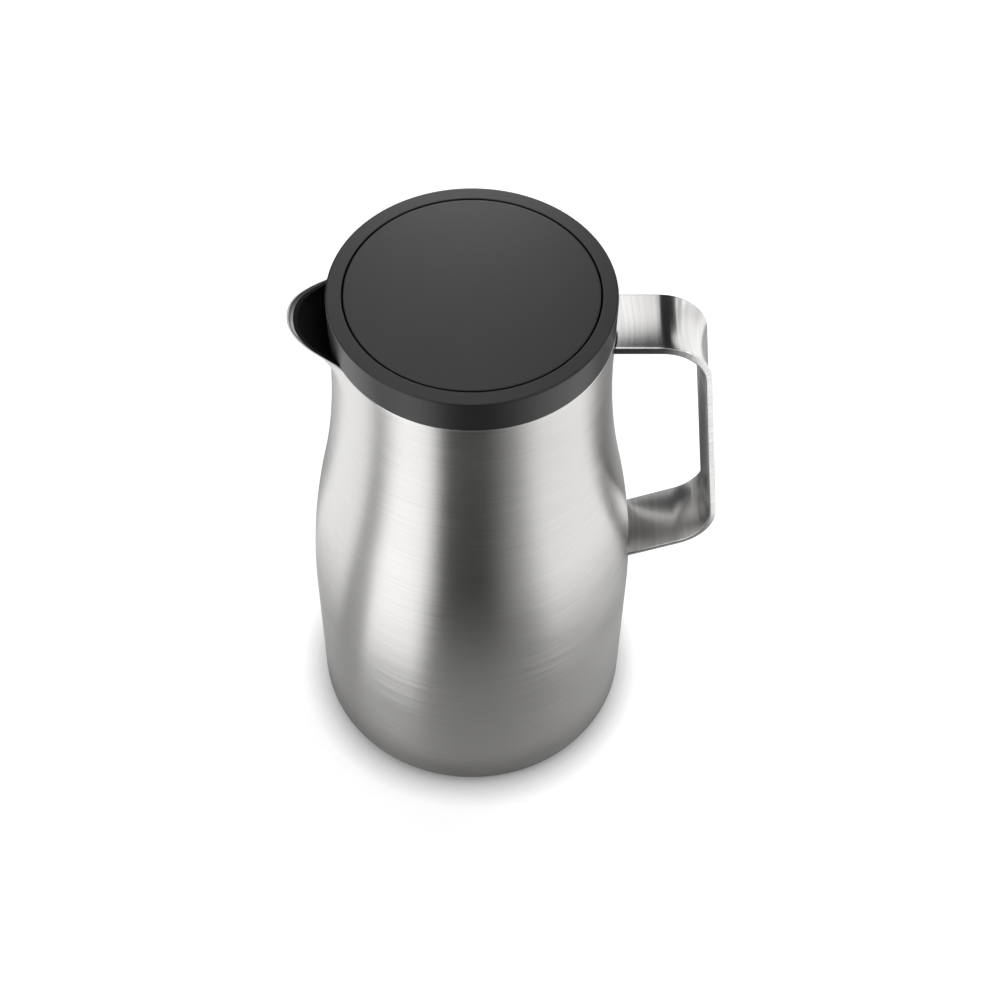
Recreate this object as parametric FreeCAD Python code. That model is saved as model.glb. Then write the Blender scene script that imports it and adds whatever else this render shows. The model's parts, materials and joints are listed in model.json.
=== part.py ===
import FreeCAD, Part
import math
import os

from FreeCAD import Vector

# Thermal carafe: a double-walled steel jug with a pressed spout, a strap handle, and a screw lid
# whose round top is a push button that opens a valve in the stopper.
# Millimetres. +Z up, the origin on the jug's axis at the table, the handle on +X, the spout on -X.

# Jug outline
total_height = 214.0
neck_radius = 45.6
belly_radius = 57.8
neck_length = 13.6
belly_top_height = 64.0
base_weld_height = 10.0
base_edge_radius = 6.0
foot_lift = 1.2
shell_wall = 0.6

# Spout
spout_reach = 12.9
spout_half_angle = math.radians(30.0)
spout_bluntness = 1.36
spout_depth = 17.6
spout_flare_power = 3
spout_rise = 1.7
spout_point_count = 13
back_point_count = 36
spout_level_count = 8
side_level_count = 10
belly_level_count = 4

# Lid ring and press disc
lid_radius = 45.5
lid_height = 12.0
lid_seat_gap = 0.4
ring_skirt_wall = 2.0
ring_land_thickness = 2.4
ring_lip_wall = 1.4
ring_lip_depth = 8.0
ring_edge_radius = 0.5
disc_radius = 40.1
disc_gap = 0.5
disc_thickness = 2.0
disc_skirt_wall = 1.4
disc_skirt_depth = 2.4
disc_edge_radius = 0.35
disc_hub_radius = 6.0
disc_hub_depth = 6.0
disc_rib_count = 6
disc_rib_thickness = 1.2
disc_rib_depth = 2.0
disc_rib_start = 12.0
button_travel = 4.0
press_clearance = 0.4

# Lid deck with its spring well
deck_gap = 0.05
deck_thickness = 2.2
well_radius = 13.5
well_wall = 1.5
well_depth = 9.2
well_floor = 2.5

# Stem, bush, spring and valve
stem_radius = 2.5
stem_running_gap = 0.05
stem_collar_radius = 4.5
bush_radius = 4.0
bush_flange_radius = 5.5
bush_flange_thickness = 1.0
bush_tail = 4.0
o_ring_section = 1.6
spring_coil_radius = 9.5
spring_wire_radius = 0.6
spring_turns = 6
spring_points_per_turn = 48
spring_end_gap = 0.1
valve_plate_radius = 22.0
valve_plate_thickness = 3.0
valve_seal_inner = 18.6
valve_seal_outer = 21.6
valve_seal_thickness = 2.0
nut_radius = 4.6
nut_height = 2.6

# Stopper
stopper_radius = 32.2
stopper_wall = 2.4
stopper_nose_radius = 29.6
stopper_nose_depth = 11.0
stopper_floor = 2.2
valve_opening_radius = 18.0
window_count = 6
window_angle = math.radians(38.0)
window_height = 9.5
window_top_drop = 2.0
chamber_gasket_thickness = 1.0
boss_radius = 3.6
boss_circle = 26.4
boss_depth = 10.0
boss_count = 3
screw_radius = 1.5
screw_head_radius = 2.8
screw_head_height = 1.8
screw_length = 9.0
screw_gap = 0.1
screw_slot_width = 0.8
screw_slot_depth = 0.9

# Screw thread between stopper and collar
thread_lead = 36.0
thread_starts = 6
thread_height = 2.0
thread_depth = 1.4
thread_root_bite = 0.4
thread_play = 0.4
inner_thread_angle = math.radians(52.0)
outer_thread_angle = math.radians(44.0)
thread_step = math.radians(6.5)

# Pour collar, mouth gasket and stopper seal
flange_drop = 29.6
mouth_gasket_thickness = 2.0
mouth_gasket_inner = 31.6
mouth_gasket_outer = 35.6
ledge_radius = 30.2
ledge_thickness = 3.0
thread_bore_radius = 34.0
thread_zone = 12.0
collar_gap = 0.2
collar_wall = 0.9
collar_top_drop = 0.4
funnel_height = 4.5
funnel_step = 0.8
thread_bore_wall = 2.0
undercut_rise = 4.0
seal_thickness = 2.0
seal_inset = 0.2

# Inner flask with its foil and getter
vacuum_gap = 5.0
flask_wall = 0.5
flask_floor_height = 11.0
flask_edge_radius = 12.0
flask_neck_radius = 31.4
flask_neck_length = 10.0
flask_cone_height = 14.0
weld_gap = 0.05
foil_low = 26.0
foil_top_gap = 6.0
foil_gap = 0.2
foil_thickness = 0.15
getter_radius = 5.0
getter_height = 2.5
getter_place = 22.0

# Base pad and vacuum seal
pad_radius = 47.5
pad_side_gap = 0.3
pad_thickness = 3.2
pad_groove_width = 1.2
pad_groove_depth = 0.6
pad_groove_radii_shares = (0.55, 0.75, 0.9)
pad_edge_chamfer = 0.5
plug_radius = 4.5
plug_height = 1.0
plug_pocket_gap = 1.0

# Handle strap
strap_width = 22.8
strap_thickness = 2.5
strap_dish = 2.0
strap_edge_radius = 0.55
handle_drop = 1.15
grip_top_reach = 75.0
grip_bottom_reach = 87.0
grip_drop = 101.5
lower_arm_angle = math.radians(23.8)
top_bend_radius = 17.2
bottom_bend_radius = 19.6

# Cuts run past what they cut by this much
overrun = 2.0

# Heights and radii that follow from the sizes above
rim_height = total_height - lid_height - lid_seat_gap
neck_start_height = rim_height - neck_length
flange_height = rim_height - flange_drop
flask_neck_low = flange_height - flask_neck_length
flask_shoulder_height = flask_neck_low - flask_cone_height
foil_high = flask_shoulder_height - foil_top_gap
grip_bottom_height = rim_height - grip_drop
spout_root_height = rim_height - spout_depth
spout_tip_height = rim_height + spout_rise
neck_inner_radius = neck_radius - shell_wall
flask_heel_height = flask_floor_height + flask_edge_radius
flask_floor_radius = belly_radius - shell_wall - vacuum_gap - flask_edge_radius
lid_bottom = total_height - lid_height
disc_opening_radius = disc_radius + disc_gap
disc_underside = total_height - disc_thickness
deck_top = disc_underside - disc_skirt_depth - button_travel - press_clearance
deck_underside = deck_top - deck_thickness
deck_radius = lid_radius - ring_skirt_wall - deck_gap
well_floor_top = deck_top - well_depth
well_floor_bottom = well_floor_top - well_floor
collar_bottom = flange_height + mouth_gasket_thickness
ledge_height = collar_bottom + ledge_thickness
thread_top = ledge_height + thread_zone
funnel_top = thread_top + funnel_height
collar_inset = shell_wall + collar_gap + collar_wall
funnel_radius = neck_radius - collar_inset - funnel_step
stopper_shoulder = ledge_height + seal_thickness
stopper_top = deck_underside - chamber_gasket_thickness
stopper_bottom = stopper_shoulder - stopper_nose_depth
stopper_inner_radius = stopper_radius - stopper_wall
valve_plate_top = stopper_bottom - valve_seal_thickness
valve_plate_bottom = valve_plate_top - valve_plate_thickness
stem_hole_radius = stem_radius + stem_running_gap
nut_bottom = valve_plate_bottom - nut_height


def at_angle(radius, angle, height):
    return Vector(radius * math.cos(angle), radius * math.sin(angle), height)


def turn(shape, angle):
    copy = shape.copy()
    copy.rotate(Vector(0, 0, 0), Vector(0, 0, 1), math.degrees(angle))
    return copy


def disc(radius, low, high):
    return Part.makeCylinder(radius, high - low, Vector(0, 0, low))


def ring(outer, inner, low, high):
    return disc(outer, low, high).cut(disc(inner, low - overrun, high + overrun))


def spun(edges):
    face = Part.Face(Part.Wire(edges))
    return face.revolve(Vector(0, 0, 0), Vector(0, 0, 1), 360)


def lines(points):
    return [Part.LineSegment(a, b).toShape() for a, b in zip(points, points[1:])]


def spun_outline(outline):
    points = [Vector(radius, 0, height) for radius, height in outline]
    return spun(lines(points + points[:1]))


# The jug's side is two equal tangent arcs between a straight belly and a straight neck
side_arc_radius = (
    (belly_radius - neck_radius) ** 2 + (neck_start_height - belly_top_height) ** 2
) / (4 * (belly_radius - neck_radius))
side_turn_height = (neck_start_height + belly_top_height) / 2


def side_radius(height):
    if height <= belly_top_height:
        return belly_radius
    if height <= side_turn_height:
        rise = height - belly_top_height
        return belly_radius - side_arc_radius + math.sqrt(side_arc_radius**2 - rise**2)
    if height <= neck_start_height:
        fall = neck_start_height - height
        return neck_radius + side_arc_radius - math.sqrt(side_arc_radius**2 - fall**2)
    return neck_radius


def side_edges(offset, low, high):
    """The jug's side, moved inwards by offset, as lines and arcs from low to high."""
    breaks = [belly_top_height, side_turn_height, neck_start_height]
    stops = [low] + [h for h in breaks if low < h < high] + [high]
    edges = []
    for start, end in zip(stops, stops[1:]):
        points = [Vector(side_radius(h) - offset, 0, h) for h in (start, (start + end) / 2, end)]
        if belly_top_height <= start and end <= neck_start_height:
            edges.append(Part.Arc(*points).toShape())
        else:
            edges.append(Part.LineSegment(points[0], points[2]).toShape())
    return edges


def side_solid(offset, low, high):
    top = Vector(side_radius(high) - offset, 0, high)
    bottom = Vector(side_radius(low) - offset, 0, low)
    closing = lines([top, Vector(0, 0, high), Vector(0, 0, low), bottom])
    return spun(side_edges(offset, low, high) + closing)


def spout_radius(angle_from_spout, height):
    """The neck's radius with the spout's swelling: a blunt raised cosine, growing with a power of height."""
    radius = side_radius(height)
    share = abs(angle_from_spout) / spout_half_angle
    if share < 1 and height > spout_root_height:
        climb = (height - spout_root_height) / (spout_tip_height - spout_root_height)
        swell = (1 + math.cos(math.pi * share**spout_bluntness)) / 2
        radius += spout_reach * climb**spout_flare_power * swell
    return radius


def spout_angles():
    back_half = math.pi - spout_half_angle
    back = [back_half * (2 * i / back_point_count - 1) for i in range(back_point_count)]
    front = [
        back_half + 2 * spout_half_angle * i / spout_point_count for i in range(spout_point_count)
    ]
    return back + front


def neck_section(offset, height):
    points = [
        at_angle(spout_radius(math.remainder(angle - math.pi, 2 * math.pi), height) - offset, angle, height)
        for angle in spout_angles()
    ]
    curve = Part.BSplineCurve()
    curve.interpolate(Points=points, PeriodicFlag=True)
    return Part.Wire(curve.toShape())


def even_levels(low, high, count):
    return [low + (high - low) * i / count for i in range(count)]


def neck_solid(offset, low, high):
    """The neck with its spout, moved inwards by offset, between two heights."""
    heights = even_levels(low, high, spout_level_count) + [high]
    return Part.makeLoft([neck_section(offset, h) for h in heights], True, False)


def jug_solid(offset):
    """The whole jug from the weld to over the rim, moved inwards by offset, as one skin."""
    high = spout_tip_height + overrun
    heights = even_levels(base_weld_height, belly_top_height, belly_level_count)
    heights += even_levels(belly_top_height, spout_root_height, side_level_count)
    heights += even_levels(spout_root_height, high, spout_level_count) + [high]
    return Part.makeLoft([neck_section(offset, h) for h in heights], True, False)


def above_rim(drop):
    """Everything over the rim line lowered by drop: level round the neck, curving up along the spout."""
    far = spout_radius(0, spout_tip_height + overrun) + overrun
    bend = neck_radius * math.cos(spout_half_angle)
    level = rim_height - drop
    tip = neck_radius + spout_reach
    rise_radius = ((tip - bend) ** 2 + spout_rise**2) / (2 * spout_rise)

    def on_rise(reach):
        return Vector(-reach, -far, level + rise_radius - math.sqrt(rise_radius**2 - (reach - bend) ** 2))

    ceiling = total_height
    arc = Part.Arc(on_rise(bend), on_rise((bend + far) / 2), on_rise(far)).toShape()
    rest = lines(
        [
            on_rise(far),
            Vector(-far, -far, ceiling),
            Vector(far, -far, ceiling),
            Vector(far, -far, level),
            on_rise(bend),
        ]
    )
    return Part.Face(Part.Wire([arc] + rest)).extrude(Vector(0, 2 * far, 0))


def outer_shell():
    return jug_solid(0).cut(jug_solid(shell_wall)).cut(above_rim(0))


def base_cup(offset):
    """The rounded foot of the jug, moved inwards by offset, up to the weld."""
    side = belly_radius - offset
    low = foot_lift + offset
    radius = base_edge_radius - offset
    centre = Vector(side - radius, 0, low + radius)
    start = Vector(side, 0, centre.z)
    middle = centre + Vector(radius, 0, -radius) / math.sqrt(2)
    end = Vector(centre.x, 0, low)
    rest = lines(
        [end, Vector(0, 0, low), Vector(0, 0, base_weld_height), Vector(side, 0, base_weld_height), start]
    )
    return spun([Part.Arc(start, middle, end).toShape()] + rest)


def base_cap():
    recess_radius = pad_radius + pad_side_gap
    raised_floor = disc(recess_radius + shell_wall, 0, pad_thickness + shell_wall)
    return base_cup(0).cut(base_cup(shell_wall).cut(raised_floor)).cut(disc(recess_radius, 0, pad_thickness))


def base_pad():
    pad = disc(pad_radius, 0, pad_thickness)
    pad = pad.makeChamfer(pad_edge_chamfer, [e for e in pad.Edges if e.Vertexes[0].Z < pad_groove_depth])
    pocket_radius = plug_radius + plug_pocket_gap
    pocket_low = pad_thickness - plug_height - pad_groove_depth
    pad = pad.cut(disc(pocket_radius, pocket_low, pad_thickness + overrun))
    for share in pad_groove_radii_shares:
        outer = pad_radius * share
        pad = pad.cut(ring(outer, outer - pad_groove_width, -overrun, pad_groove_depth))
    return pad


def seal_off_plug():
    return disc(plug_radius, pad_thickness - plug_height, pad_thickness)


def getter():
    floor = pad_thickness + shell_wall
    return Part.makeCylinder(getter_radius, getter_height, Vector(getter_place, 0, floor))


def flask_solid(offset, top):
    """The flask's outer form, moved inwards by offset, up to a straight neck that ends at top."""
    side_offset = shell_wall + vacuum_gap + offset
    low = flask_floor_height + offset
    radius = flask_edge_radius - offset
    side = belly_radius - side_offset
    neck = flask_neck_radius - offset
    centre = Vector(side - radius, 0, low + radius)
    start = Vector(centre.x, 0, low)
    middle = centre + Vector(radius, 0, -radius) / math.sqrt(2)
    end = Vector(side, 0, centre.z)
    rest = lines(
        [
            Vector(side_radius(flask_shoulder_height) - side_offset, 0, flask_shoulder_height),
            Vector(neck, 0, flask_neck_low),
            Vector(neck, 0, top),
            Vector(0, 0, top),
            Vector(0, 0, low),
            start,
        ]
    )
    wall = side_edges(side_offset, centre.z, flask_shoulder_height)
    return spun([Part.Arc(start, middle, end).toShape()] + wall + rest)


def flask_band(low, high):
    """The flask's wall between two heights."""
    wall = flask_solid(0, flange_height).cut(flask_solid(flask_wall, flange_height + overrun))
    return wall.common(disc(belly_radius, low, high))


def inner_flask():
    return flask_band(flask_heel_height, flask_shoulder_height)


def flask_heel():
    heel = flask_band(flask_floor_height, flask_heel_height)
    return heel.cut(disc(flask_floor_radius, flask_floor_height - overrun, flask_heel_height + overrun))


def flask_neck():
    return flask_band(flask_shoulder_height, flange_height)


def flask_floor():
    return disc(flask_floor_radius - weld_gap, flask_floor_height, flask_floor_height + flask_wall)


def mouth_flange():
    outer = neck_inner_radius - weld_gap
    return ring(outer, flask_neck_radius + weld_gap, flange_height - flask_wall, flange_height)


def copper_foil():
    offset = shell_wall + vacuum_gap - foil_gap
    outer = side_solid(offset - foil_thickness, foil_low, foil_high)
    return outer.cut(side_solid(offset, foil_low, foil_high))


def mouth_gasket():
    return ring(mouth_gasket_outer, mouth_gasket_inner, flange_height, collar_bottom)


def thread_ridge(inner, outer, angle, middle_height):
    """One start of the thread: a square ridge along a helix, centred on the spout's side."""
    count = max(2, round(angle / thread_step))
    sections = []
    for i in range(count + 1):
        here = angle * (i / count - 1 / 2)
        height = middle_height + thread_lead * here / (2 * math.pi)
        low = height - thread_height / 2
        high = height + thread_height / 2
        corners = [
            at_angle(inner, here, low),
            at_angle(outer, here, low),
            at_angle(outer, here, high),
            at_angle(inner, here, high),
        ]
        sections.append(Part.makePolygon(corners + corners[:1]))
    return Part.makeLoft(sections, True, False)


def thread_ridges(inner, outer, angle, middle_height):
    ridge = thread_ridge(inner, outer, angle, middle_height)
    return [turn(ridge, 2 * math.pi * i / thread_starts) for i in range(thread_starts)]


def inner_thread_height():
    return ledge_height + seal_thickness + thread_zone / 2


def pour_collar():
    outer_offset = shell_wall + collar_gap
    upper_end = spout_tip_height + overrun
    collar = neck_solid(outer_offset, collar_bottom, upper_end)
    collar = collar.cut(neck_solid(collar_inset, funnel_top, upper_end + overrun))
    collar = collar.cut(disc(funnel_radius, collar_bottom - overrun, upper_end))
    return collar.cut(above_rim(collar_top_drop))


def thread_insert():
    """The threaded sleeve with the seal's ledge at its foot and the funnel at its head."""
    sleeve_radius = thread_bore_radius + thread_bore_wall
    sleeve_top = thread_top - thread_bore_wall
    insert = spun_outline(
        [
            (ledge_radius, collar_bottom),
            (sleeve_radius, collar_bottom),
            (sleeve_radius, sleeve_top),
            (funnel_radius, sleeve_top + undercut_rise),
            (funnel_radius, funnel_top),
            (thread_bore_radius, thread_top),
            (thread_bore_radius, ledge_height),
            (ledge_radius, ledge_height),
        ]
    )
    crest = thread_bore_radius - thread_depth
    ridges = thread_ridges(
        crest, thread_bore_radius + thread_root_bite, inner_thread_angle, inner_thread_height()
    )
    return insert.fuse(ridges)


def rounded_path(corners, radii):
    """A chain of lines with a tangent arc at each inner corner."""
    edges = []
    start = corners[0]
    for before, corner, after, radius in zip(corners, corners[1:], corners[2:], radii):
        back = (before - corner).normalize()
        forth = (after - corner).normalize()
        half = back.getAngle(forth) / 2
        reach = radius / math.tan(half)
        depth = radius / math.sin(half) - radius
        arc_start = corner + back * reach
        arc_end = corner + forth * reach
        arc_middle = corner + (back + forth).normalize() * depth
        edges.append(Part.LineSegment(start, arc_start).toShape())
        edges.append(Part.Arc(arc_start, arc_middle, arc_end).toShape())
        start = arc_end
    edges.append(Part.LineSegment(start, corners[-1]).toShape())
    return edges


def strap_corners():
    """The four corners of the strap's outer edges; both ends lie inside the jug's wall."""
    inside = neck_inner_radius / 2
    top = rim_height - handle_drop
    low = Vector(grip_bottom_reach, 0, grip_bottom_height)
    arm = Vector(-math.cos(lower_arm_angle), 0, -math.sin(lower_arm_angle))
    arm_length = (grip_bottom_reach - inside) / math.cos(lower_arm_angle)
    return [Vector(inside, 0, top), Vector(grip_top_reach, 0, top), low, low + arm * arm_length]


def strap_section(start):
    """The strap's cross-section at start: a shallow arc, hollow on its outer face, with rounded corners."""
    half = strap_width / 2
    hollow_radius = (half**2 + strap_dish**2) / (2 * strap_dish)
    end_angle = math.asin(half / hollow_radius)
    centre = start + Vector(0, 0, hollow_radius * math.cos(end_angle))
    easing = strap_edge_radius * (1 - 1 / math.sqrt(2))

    def place(depth, angle):
        reach = hollow_radius + depth
        return centre + Vector(0, reach * math.sin(angle), -reach * math.cos(angle))

    def corner(side, face, inward):
        on_face = place(face, side * (end_angle - strap_edge_radius / hollow_radius))
        middle = place(face + inward * easing, side * (end_angle - easing / hollow_radius))
        on_side = place(face + inward * strap_edge_radius, side * end_angle)
        return on_face, middle, on_side

    far_out, near_out = corner(1, 0, 1), corner(-1, 0, 1)
    far_in, near_in = corner(1, strap_thickness, -1), corner(-1, strap_thickness, -1)
    arcs = [far_out, near_out, far_in, near_in]
    arcs.append((near_out[0], place(0, 0), far_out[0]))
    arcs.append((near_in[0], place(strap_thickness, 0), far_in[0]))
    edges = [Part.Arc(*points).toShape() for points in arcs]
    edges += lines([far_out[2], far_in[2]]) + lines([near_out[2], near_in[2]])
    return Part.Wire(Part.__sortEdges__(edges))


def handle():
    corners = strap_corners()
    path = Part.Wire(rounded_path(corners, (top_bend_radius, bottom_bend_radius)))
    strap = path.makePipeShell([strap_section(corners[0])], True, False)
    return strap.cut(jug_solid(0))


def lid_ring():
    skirt_inner = lid_radius - ring_skirt_wall
    lip_outer = disc_opening_radius + ring_lip_wall
    ring_body = disc(lid_radius, lid_bottom, total_height)
    top_edges = [e for e in ring_body.Edges if e.BoundBox.ZMin > total_height - ring_edge_radius]
    ring_body = ring_body.makeFillet(ring_edge_radius, top_edges)
    ring_body = ring_body.cut(disc(disc_opening_radius, lid_bottom - overrun, total_height + overrun))
    land_underside = total_height - ring_land_thickness
    lip_bottom = total_height - ring_lip_depth
    ring_body = ring_body.cut(ring(skirt_inner, lip_outer, lip_bottom, land_underside))
    return ring_body.cut(disc(skirt_inner, lid_bottom - overrun, lip_bottom))


def lid_deck():
    well_outer = well_radius + well_wall
    deck = disc(deck_radius, deck_underside, deck_top)
    deck = deck.fuse(disc(well_outer, well_floor_bottom, deck_top))
    deck = deck.cut(disc(well_radius, well_floor_top, deck_top + overrun))
    deck = deck.cut(disc(bush_radius, well_floor_bottom - overrun, deck_top))
    for place in boss_places():
        deck = deck.cut(
            Part.makeCylinder(screw_radius + screw_gap, deck_thickness, place + Vector(0, 0, deck_underside))
        )
    return deck


def boss_places():
    return [at_angle(boss_circle, 2 * math.pi * i / boss_count, 0) for i in range(boss_count)]


def stem_bush():
    bush = disc(bush_radius, well_floor_top - bush_tail, well_floor_top)
    bush = bush.fuse(disc(bush_flange_radius, well_floor_top, well_floor_top + bush_flange_thickness))
    return bush.cut(disc(stem_hole_radius, stopper_bottom, deck_top))


def stem_o_ring():
    middle = stem_hole_radius + o_ring_section / 2
    height = well_floor_top - bush_tail - o_ring_section / 2
    return Part.makeTorus(middle, o_ring_section / 2, Vector(0, 0, height))


def stopper_body():
    body = disc(stopper_radius, stopper_shoulder, stopper_top)
    body = body.cut(disc(stopper_inner_radius, stopper_shoulder - overrun, stopper_top + overrun))
    nose_inner = stopper_nose_radius - stopper_wall
    body = body.fuse(ring(stopper_radius, nose_inner, stopper_shoulder, stopper_shoulder + stopper_wall))
    body = body.fuse(ring(stopper_nose_radius, nose_inner, stopper_bottom, stopper_shoulder))
    body = body.fuse(
        ring(stopper_nose_radius, valve_opening_radius, stopper_bottom, stopper_bottom + stopper_floor)
    )
    for place in boss_places():
        boss = Part.makeCylinder(boss_radius, boss_depth, place + Vector(0, 0, stopper_top - boss_depth))
        body = body.fuse(boss)
    window_top = stopper_top - window_top_drop
    for i in range(window_count):
        middle = 2 * math.pi * (i + 1 / 2) / window_count
        sector = Part.makeCylinder(
            stopper_radius + overrun,
            window_height,
            Vector(0, 0, window_top - window_height),
            Vector(0, 0, 1),
            math.degrees(window_angle),
        )
        sector = sector.cut(disc(stopper_inner_radius - overrun, stopper_bottom, deck_top))
        body = body.cut(turn(sector, middle - window_angle / 2))
    crest = stopper_radius + thread_depth
    height = inner_thread_height() - thread_height - thread_play
    body = body.fuse(
        thread_ridges(stopper_radius - thread_root_bite, crest, outer_thread_angle, height)
    )
    for place in boss_places():
        pilot = Part.makeCylinder(screw_radius, boss_depth, place + Vector(0, 0, stopper_top - boss_depth))
        body = body.cut(pilot)
    return body


def chamber_gasket():
    gasket = ring(stopper_radius, stopper_inner_radius, stopper_top, deck_underside)
    for place in boss_places():
        hole = Part.makeCylinder(boss_radius, chamber_gasket_thickness, place + Vector(0, 0, stopper_top))
        gasket = gasket.cut(hole)
    return gasket


def stopper_seal():
    return ring(
        stopper_radius - seal_inset, stopper_nose_radius + seal_inset, ledge_height, stopper_shoulder
    )


def lid_screws():
    screws = []
    for place in boss_places():
        shank_low = deck_top - screw_length
        shank = Part.makeCylinder(screw_radius, screw_length, place + Vector(0, 0, shank_low))
        head = Part.makeCylinder(screw_head_radius, screw_head_height, place + Vector(0, 0, deck_top))
        slot = Part.makeBox(
            2 * screw_head_radius,
            screw_slot_width,
            screw_slot_depth,
            place
            + Vector(
                -screw_head_radius, -screw_slot_width / 2, deck_top + screw_head_height - screw_slot_depth
            ),
        )
        screws.append(shank.fuse(head).cut(slot))
    return Part.makeCompound(screws)


def press_disc():
    plate = disc(disc_radius, disc_underside - disc_skirt_depth, total_height)
    top_edges = [e for e in plate.Edges if e.BoundBox.ZMin > total_height - disc_edge_radius]
    plate = plate.makeFillet(disc_edge_radius, top_edges)
    skirt_inner = disc_radius - disc_skirt_wall
    plate = plate.cut(disc(skirt_inner, disc_underside - disc_skirt_depth - overrun, disc_underside))
    plate = plate.fuse(disc(disc_hub_radius, disc_underside - disc_hub_depth, disc_underside))
    rib = Part.makeBox(
        skirt_inner + disc_skirt_wall / 2 - disc_rib_start,
        disc_rib_thickness,
        disc_rib_depth,
        Vector(disc_rib_start, -disc_rib_thickness / 2, disc_underside - disc_rib_depth),
    )
    for i in range(disc_rib_count):
        plate = plate.fuse(turn(rib, 2 * math.pi * (i + 1 / 2) / disc_rib_count))
    return plate.cut(disc(stem_radius, disc_underside - disc_hub_depth - overrun, disc_underside))


def valve_stem():
    stem = disc(stem_radius, nut_bottom, disc_underside)
    return stem.fuse(disc(stem_collar_radius, valve_plate_top, stopper_bottom))


def valve_plate():
    return ring(valve_plate_radius, stem_radius, valve_plate_bottom, valve_plate_top)


def valve_seal():
    return ring(valve_seal_outer, valve_seal_inner, valve_plate_top, stopper_bottom)


def stem_nut():
    corners = [at_angle(nut_radius, math.pi * i / 3, nut_bottom) for i in range(6)]
    prism = Part.Face(Part.makePolygon(corners + corners[:1])).extrude(Vector(0, 0, nut_height))
    return prism.cut(disc(stem_radius, nut_bottom - overrun, valve_plate_bottom + overrun))


def biarc(start, start_way, end, end_way):
    """Two tangent arcs from one point and direction to another, as edges."""
    chord = end - start
    both = start_way + end_way
    spread = 2 * (1 - start_way.dot(end_way))
    along = chord.dot(both)
    leg = (math.sqrt(along**2 + spread * chord.dot(chord)) - along) / spread
    first = start + start_way * leg
    second = end - end_way * leg
    meet = (first + second) / 2
    edges = []
    for a, corner, b in ((start, first, meet), (meet, second, end)):
        half = (a - corner).getAngle(b - corner) / 2
        depth = leg / math.cos(half) - leg * math.tan(half)
        inward = ((a + b) / 2 - corner).normalize()
        edges.append(Part.Arc(a, corner + inward * depth, b).toShape())
    return edges


def button_spring():
    """A coil spring of round wire between the well's floor and the disc."""
    low = well_floor_top + spring_wire_radius + spring_end_gap
    high = disc_underside - spring_wire_radius - spring_end_gap
    slope = (high - low) / (2 * math.pi * spring_turns)

    def place(angle):
        return at_angle(spring_coil_radius, angle, low + slope * angle)

    def way(angle):
        sideways = at_angle(spring_coil_radius, angle + math.pi / 2, slope)
        return sideways.normalize()

    quarter = math.pi / 2
    edges = []
    for i in range(4 * spring_turns):
        start, end = i * quarter, (i + 1) * quarter
        edges += biarc(place(start), way(start), place(end), way(end))
    section = Part.Wire(Part.makeCircle(spring_wire_radius, place(0), way(0)))
    coil = Part.Wire(edges).makePipeShell([section], True, False)
    step = 2 * math.pi / spring_points_per_turn
    points = [place(i * step) for i in range(spring_turns * spring_points_per_turn + 1)]
    half_turn = spring_points_per_turn // 2
    nearest = min((a - b).Length for i, a in enumerate(points) for b in points[i + half_turn :])
    print("button_spring least gap between turns", round(nearest - 2 * spring_wire_radius, 2))
    return coil


pieces = (
    outer_shell,
    base_cap,
    base_pad,
    seal_off_plug,
    getter,
    inner_flask,
    flask_heel,
    flask_neck,
    flask_floor,
    mouth_flange,
    copper_foil,
    mouth_gasket,
    pour_collar,
    thread_insert,
    handle,
    stopper_seal,
    stopper_body,
    chamber_gasket,
    lid_deck,
    lid_ring,
    lid_screws,
    stem_bush,
    stem_o_ring,
    press_disc,
    valve_stem,
    valve_plate,
    valve_seal,
    stem_nut,
    button_spring,
)

os.makedirs("parts", exist_ok=True)
for piece in pieces:
    shape = piece()
    volume = round(shape.Volume, 1)
    print(piece.__name__, "solids", len(shape.Solids), "valid", shape.isValid(), "volume", volume)
    shape.exportStep(os.path.join("parts", piece.__name__ + ".step"))
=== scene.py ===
# Thermal carafe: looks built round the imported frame. Metres, +Z up, handle on +X, spout on -X.
import json
import math

import bpy
import numpy as np
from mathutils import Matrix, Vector

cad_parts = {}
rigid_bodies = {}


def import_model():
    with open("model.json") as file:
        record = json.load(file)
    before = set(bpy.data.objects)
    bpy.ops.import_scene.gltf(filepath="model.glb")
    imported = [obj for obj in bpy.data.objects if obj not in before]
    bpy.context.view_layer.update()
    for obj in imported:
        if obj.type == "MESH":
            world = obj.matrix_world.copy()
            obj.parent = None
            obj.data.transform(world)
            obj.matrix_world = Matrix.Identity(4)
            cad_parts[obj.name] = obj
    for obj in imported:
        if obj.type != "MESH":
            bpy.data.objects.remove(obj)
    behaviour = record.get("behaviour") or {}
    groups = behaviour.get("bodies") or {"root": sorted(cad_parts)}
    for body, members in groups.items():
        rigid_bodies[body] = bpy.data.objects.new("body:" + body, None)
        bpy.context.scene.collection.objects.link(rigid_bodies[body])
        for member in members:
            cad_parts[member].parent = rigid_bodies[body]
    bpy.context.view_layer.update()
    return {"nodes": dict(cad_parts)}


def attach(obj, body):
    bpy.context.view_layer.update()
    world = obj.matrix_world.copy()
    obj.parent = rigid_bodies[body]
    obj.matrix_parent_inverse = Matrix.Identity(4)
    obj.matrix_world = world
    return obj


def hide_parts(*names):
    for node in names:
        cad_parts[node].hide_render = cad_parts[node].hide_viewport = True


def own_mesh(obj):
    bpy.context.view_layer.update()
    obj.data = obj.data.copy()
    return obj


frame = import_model()
nodes = frame["nodes"]
mm = 0.001  # the body, spout, strap and lid are given in millimetres, all else in metres
fullTurn = 2 * math.pi
print("frame loaded,", len(nodes), "nodes")

scene = bpy.context.scene
scene.view_settings.view_transform = "Standard"


# mesh tools

brushMap = "brush"  # the UV map that brushing and reflection cards follow
closedGuardShare = 0.45  # on a closed outline a guard point stays within this share of its side


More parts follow.
